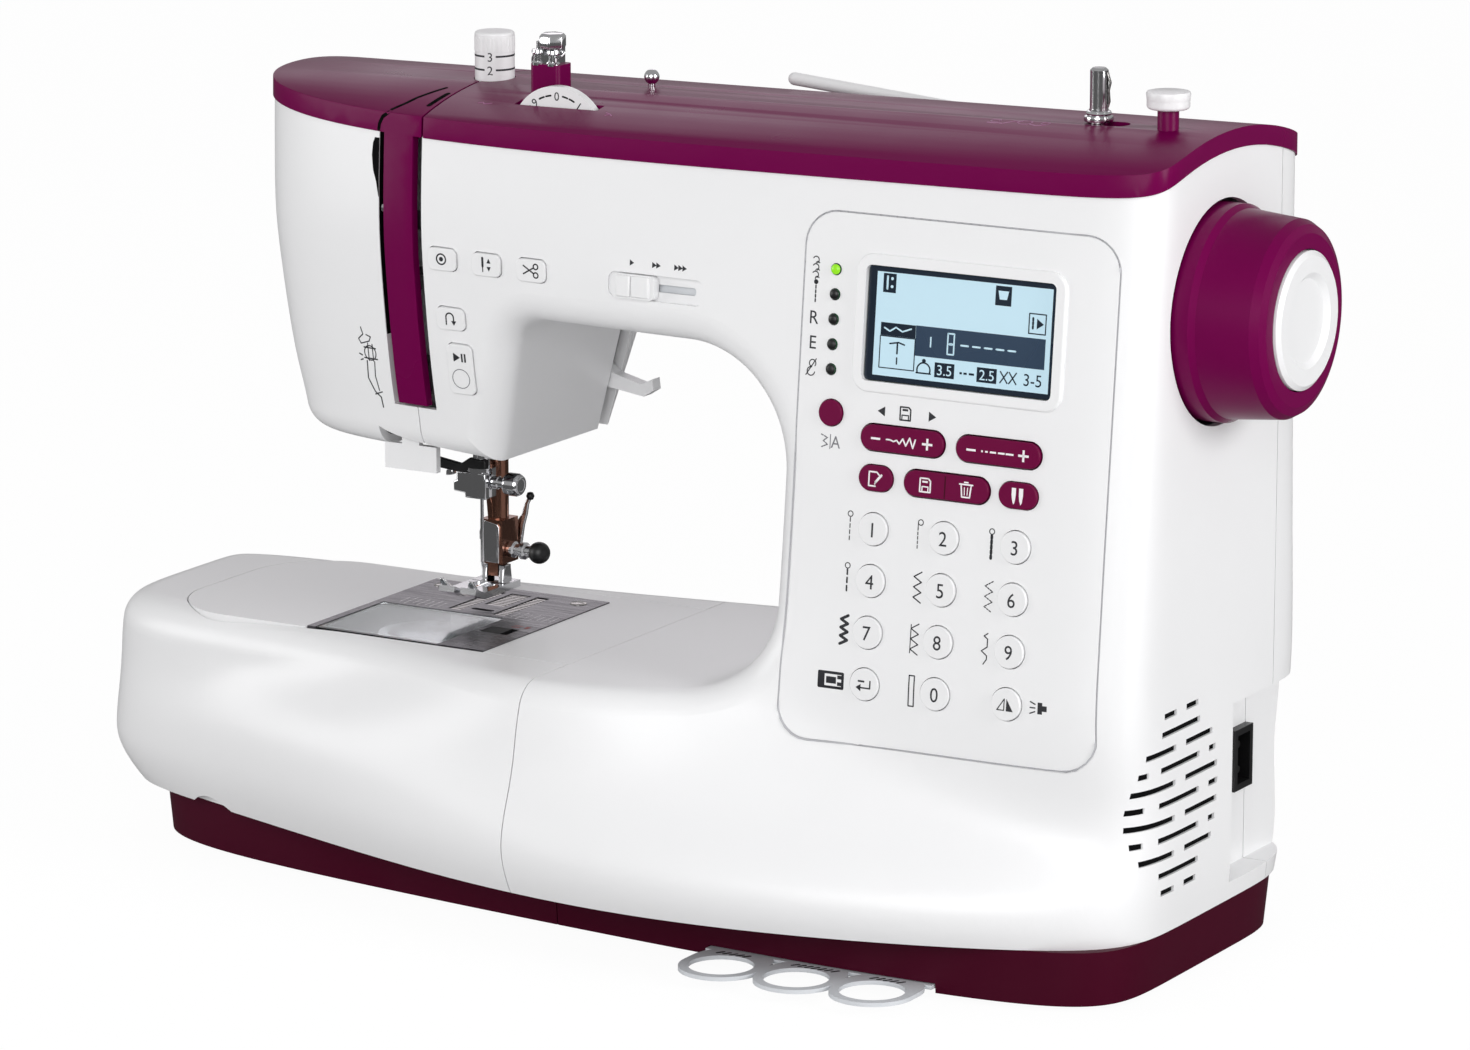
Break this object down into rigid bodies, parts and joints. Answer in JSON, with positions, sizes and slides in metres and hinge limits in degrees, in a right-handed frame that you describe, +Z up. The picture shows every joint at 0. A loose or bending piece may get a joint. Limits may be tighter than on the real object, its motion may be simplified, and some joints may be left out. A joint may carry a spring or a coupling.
{
  "type": "sewing machine",
  "caption": "White and purple computerised sewing machine with a free arm, slide-off extension table, keypad panel with display, handwheel and pull-out pattern card.",
  "frame": {"origin": "bottom centre of the bounding box, on the table under the rubber feet", "axes": "+X towards the handwheel, -Y towards the operator, +Z up"},
  "size_m": [0.448, 0.1844, 0.296],
  "materials": {
    "white_abs": "satin",
    "purple_abs": "gloss",
    "purple_base_abs": "satin",
    "purple_button": "satin",
    "white_button": "satin",
    "grey_card": "matte",
    "black_plastic": "matte",
    "clear_plastic": "gloss",
    "plate_steel": "brushed",
    "bright_steel": "polished",
    "cast_aluminium": "as cast",
    "steel": "turned",
    "motor_paint": "matte",
    "board": "matte"
  },
  "bodies": {
    "machine": {"front_cover": "white_abs", "rear_cover": "white_abs", "face_cover": "white_abs", "top_cover": "purple_abs", "head_cap": "purple_abs", "base_tray": "purple_base_abs", "free_arm": "white_abs", "needle_plate": "plate_steel", "chassis": "cast_aluminium", "display_board": "board", "motor": "motor_paint", "thread_guides": "bright_steel", "spool_pin": "white_button", "power_inlet": "black_plastic"},
    "table": {"extension_table": "white_abs", "extension_base": "purple_base_abs"},
    "drive": {"main_shaft": "steel", "handwheel": "purple_abs", "handwheel_cap": "white_button"},
    "under_drive": {"lower_shaft": "steel"},
    "hook": {"rotary_hook": "steel"},
    "bobbin": {"bobbin": "clear_plastic"},
    "feed": {"feed_dog": "steel"},
    "needle_bar": {"needle_bar": "bright_steel", "needle": "bright_steel"},
    "lifter": {"presser_lever": "white_button"},
    "presser": {"presser_bar": "bright_steel"},
    "foot": {"presser_foot": "bright_steel"},
    "threader": {"threader_lever": "white_button"},
    "take_up": {"take_up_lever": "bright_steel"},
    "tension_dial": {"tension_dial": "white_button"},
    "pressure_dial": {"pressure_dial": "white_button"},
    "winder": {"winder_spindle": "bright_steel"},
    "speed_slider": {"speed_slider": "white_button"},
    "card": {"pattern_card": "grey_card"},
    "bobbin_lid": {"bobbin_cover": "clear_plastic"},
    "latch": {"bobbin_latch": "black_plastic"},
    "key_1": {"key_1": "white_button"},
    "key_2": {"key_2": "white_button"},
    "key_3": {"key_3": "white_button"},
    "key_4": {"key_4": "white_button"},
    "key_5": {"key_5": "white_button"},
    "key_6": {"key_6": "white_button"},
    "key_7": {"key_7": "white_button"},
    "key_8": {"key_8": "white_button"},
    "key_9": {"key_9": "white_button"},
    "key_enter": {"key_enter": "white_button"},
    "key_0": {"key_0": "white_button"},
    "key_mirror": {"key_mirror": "white_button"},
    "mode_button": {"mode_button": "purple_button"},
    "width_rocker": {"width_rocker": "purple_button"},
    "length_rocker": {"length_rocker": "purple_button"},
    "edit_button": {"edit_button": "purple_button"},
    "memory_rocker": {"memory_rocker": "purple_button"},
    "twin_button": {"twin_button": "purple_button"},
    "lock_button": {"lock_button": "white_button"},
    "needle_position_button": {"needle_position_button": "white_button"},
    "cutter_button": {"cutter_button": "white_button"},
    "reverse_button": {"reverse_button": "white_button"},
    "start_stop_button": {"start_stop_button": "white_button"}
  },
  "joints": [
    {"name": "table_slide", "type": "slide", "parent": "machine", "child": "table", "axis": [-1, 0, 0], "range_m": [0, 0.2]},
    {"name": "wheel_turn", "type": "hinge", "parent": "machine", "child": "drive", "pos_m": [0.187, 0.015, 0.22], "axis": [1, 0, 0], "continuous": true},
    {"name": "lower_shaft_turn", "type": "hinge", "parent": "machine", "child": "under_drive", "pos_m": [0, 0.0034, 0.056], "axis": [1, 0, 0], "continuous": true},
    {"name": "hook_turn", "type": "hinge", "parent": "machine", "child": "hook", "pos_m": [-0.092, -0.018, 0.066], "axis": [0, 0, 1], "continuous": true},
    {"name": "bobbin_turn", "type": "hinge", "parent": "machine", "child": "bobbin", "pos_m": [-0.092, -0.018, 0.084], "axis": [0, 0, 1], "continuous": true},
    {"name": "feed_drop", "type": "slide", "parent": "machine", "child": "feed", "axis": [0, 0, 1], "range_m": [-0.0025, 0]},
    {"name": "needle_stroke", "type": "slide", "parent": "machine", "child": "needle_bar", "axis": [0, 0, 1], "range_m": [-0.028, 0]},
    {"name": "lifter_turn", "type": "hinge", "parent": "machine", "child": "lifter", "pos_m": [-0.072, 0.0525, 0.176], "axis": [0, -1, 0], "range_deg": [-40, 0]},
    {"name": "presser_lift", "type": "slide", "parent": "machine", "child": "presser", "axis": [0, 0, 1], "range_m": [-0.0056, 0]},
    {"name": "foot_tilt", "type": "hinge", "parent": "presser", "child": "foot", "pos_m": [-0.083, 0.0125, 0.103], "axis": [1, 0, 0], "range_deg": [-10, 10]},
    {"name": "threader_pull", "type": "slide", "parent": "machine", "child": "threader", "axis": [0, 0, 1], "range_m": [-0.022, 0], "stiffness_N_per_m": 20},
    {"name": "take_up_swing", "type": "hinge", "parent": "machine", "child": "take_up", "pos_m": [-0.1008, 0.02, 0.217], "axis": [1, 0, 0], "range_deg": [-18, 18]},
    {"name": "tension_turn", "type": "hinge", "parent": "machine", "child": "tension_dial", "pos_m": [-0.041, -0.012, 0.26059], "axis": [0, 1, 0], "range_deg": [-150, 150]},
    {"name": "pressure_turn", "type": "hinge", "parent": "machine", "child": "pressure_dial", "pos_m": [-0.083, 0.014, 0.276], "axis": [0, 0, 1], "range_deg": [-150, 150]},
    {"name": "winder_shift", "type": "slide", "parent": "machine", "child": "winder", "axis": [1, 0, 0], "range_m": [0, 0.0075]},
    {"name": "speed_shift", "type": "slide", "parent": "machine", "child": "speed_slider", "axis": [1, 0, 0], "range_m": [-0.00225, 0.01765]},
    {"name": "card_pull", "type": "slide", "parent": "machine", "child": "card", "axis": [0, -1, 0], "range_m": [-0.028, 0.07]},
    {"name": "lid_lift", "type": "slide", "parent": "machine", "child": "bobbin_lid", "axis": [0, -0.5, 0.866], "range_m": [0, 0.0035]},
    {"name": "latch_shift", "type": "slide", "parent": "machine", "child": "latch", "axis": [1, 0, 0], "range_m": [0, 0.0025], "stiffness_N_per_m": 120},
    {"name": "key_1_press", "type": "slide", "parent": "machine", "child": "key_1", "axis": [0, 0.9947, -0.1028], "range_m": [0, 0.0012], "stiffness_N_per_m": 400},
    {"name": "key_2_press", "type": "slide", "parent": "machine", "child": "key_2", "axis": [0, 0.9947, -0.1028], "range_m": [0, 0.0012], "stiffness_N_per_m": 400},
    {"name": "key_3_press", "type": "slide", "parent": "machine", "child": "key_3", "axis": [0, 0.9947, -0.1028], "range_m": [0, 0.0012], "stiffness_N_per_m": 400},
    {"name": "key_4_press", "type": "slide", "parent": "machine", "child": "key_4", "axis": [0, 0.9947, -0.1028], "range_m": [0, 0.0012], "stiffness_N_per_m": 400},
    {"name": "key_5_press", "type": "slide", "parent": "machine", "child": "key_5", "axis": [0, 0.9947, -0.1028], "range_m": [0, 0.0012], "stiffness_N_per_m": 400},
    {"name": "key_6_press", "type": "slide", "parent": "machine", "child": "key_6", "axis": [0, 0.9947, -0.1028], "range_m": [0, 0.0012], "stiffness_N_per_m": 400},
    {"name": "key_7_press", "type": "slide", "parent": "machine", "child": "key_7", "axis": [0, 0.9947, -0.1028], "range_m": [0, 0.0012], "stiffness_N_per_m": 400},
    {"name": "key_8_press", "type": "slide", "parent": "machine", "child": "key_8", "axis": [0, 0.9947, -0.1028], "range_m": [0, 0.0012], "stiffness_N_per_m": 400},
    {"name": "key_9_press", "type": "slide", "parent": "machine", "child": "key_9", "axis": [0, 0.9947, -0.1028], "range_m": [0, 0.0012], "stiffness_N_per_m": 400},
    {"name": "key_enter_press", "type": "slide", "parent": "machine", "child": "key_enter", "axis": [0, 0.9947, -0.1028], "range_m": [0, 0.0012], "stiffness_N_per_m": 400},
    {"name": "key_0_press", "type": "slide", "parent": "machine", "child": "key_0", "axis": [0, 0.9947, -0.1028], "range_m": [0, 0.0012], "stiffness_N_per_m": 400},
    {"name": "key_mirror_press", "type": "slide", "parent": "machine", "child": "key_mirror", "axis": [0, 0.9947, -0.1028], "range_m": [0, 0.0012], "stiffness_N_per_m": 400},
    {"name": "mode_button_press", "type": "slide", "parent": "machine", "child": "mode_button", "axis": [0, 0.9947, -0.1028], "range_m": [0, 0.0012], "stiffness_N_per_m": 400},
    {"name": "width_rocker_rock", "type": "hinge", "parent": "machine", "child": "width_rocker", "pos_m": [0.107, -0.03735, 0.17829], "axis": [0, 0.1028, 0.9947], "range_deg": [-3, 3], "stiffness_Nm_per_rad": 0.4},
    {"name": "length_rocker_rock", "type": "hinge", "parent": "machine", "child": "length_rocker", "pos_m": [0.142, -0.03735, 0.17829], "axis": [0, 0.1028, 0.9947], "range_deg": [-3, 3], "stiffness_Nm_per_rad": 0.4},
    {"name": "edit_button_press", "type": "slide", "parent": "machine", "child": "edit_button", "axis": [0, 0.9947, -0.1028], "range_m": [0, 0.0012], "stiffness_N_per_m": 400},
    {"name": "memory_rocker_rock", "type": "hinge", "parent": "machine", "child": "memory_rocker", "pos_m": [0.124, -0.03871, 0.16519], "axis": [0, 0.1028, 0.9947], "range_deg": [-3, 3], "stiffness_Nm_per_rad": 0.4},
    {"name": "twin_button_press", "type": "slide", "parent": "machine", "child": "twin_button", "axis": [0, 0.9947, -0.1028], "range_m": [0, 0.0012], "stiffness_N_per_m": 400},
    {"name": "lock_button_press", "type": "slide", "parent": "machine", "child": "lock_button", "axis": [0, 0.9974, 0.0721], "range_m": [0, 0.0012], "stiffness_N_per_m": 400},
    {"name": "needle_position_button_press", "type": "slide", "parent": "machine", "child": "needle_position_button", "axis": [0, 0.9981, 0.0611], "range_m": [0, 0.0012], "stiffness_N_per_m": 400},
    {"name": "cutter_button_press", "type": "slide", "parent": "machine", "child": "cutter_button", "axis": [0, 0.9994, 0.0344], "range_m": [0, 0.0012], "stiffness_N_per_m": 400},
    {"name": "reverse_button_press", "type": "slide", "parent": "machine", "child": "reverse_button", "axis": [0, 0.9925, 0.1225], "range_m": [0, 0.0012], "stiffness_N_per_m": 400},
    {"name": "start_stop_button_press", "type": "slide", "parent": "machine", "child": "start_stop_button", "axis": [0, 0.9867, 0.1625], "range_m": [0, 0.0012], "stiffness_N_per_m": 400}
  ],
  "couplings": [
    {"joint": "lower_shaft_turn", "follows": "wheel_turn", "ratio": 1},
    {"joint": "hook_turn", "follows": "wheel_turn", "ratio": 2},
    {"joint": "lifter_turn", "follows": "presser_lift", "rad_per_m": 124.67}
  ]
}
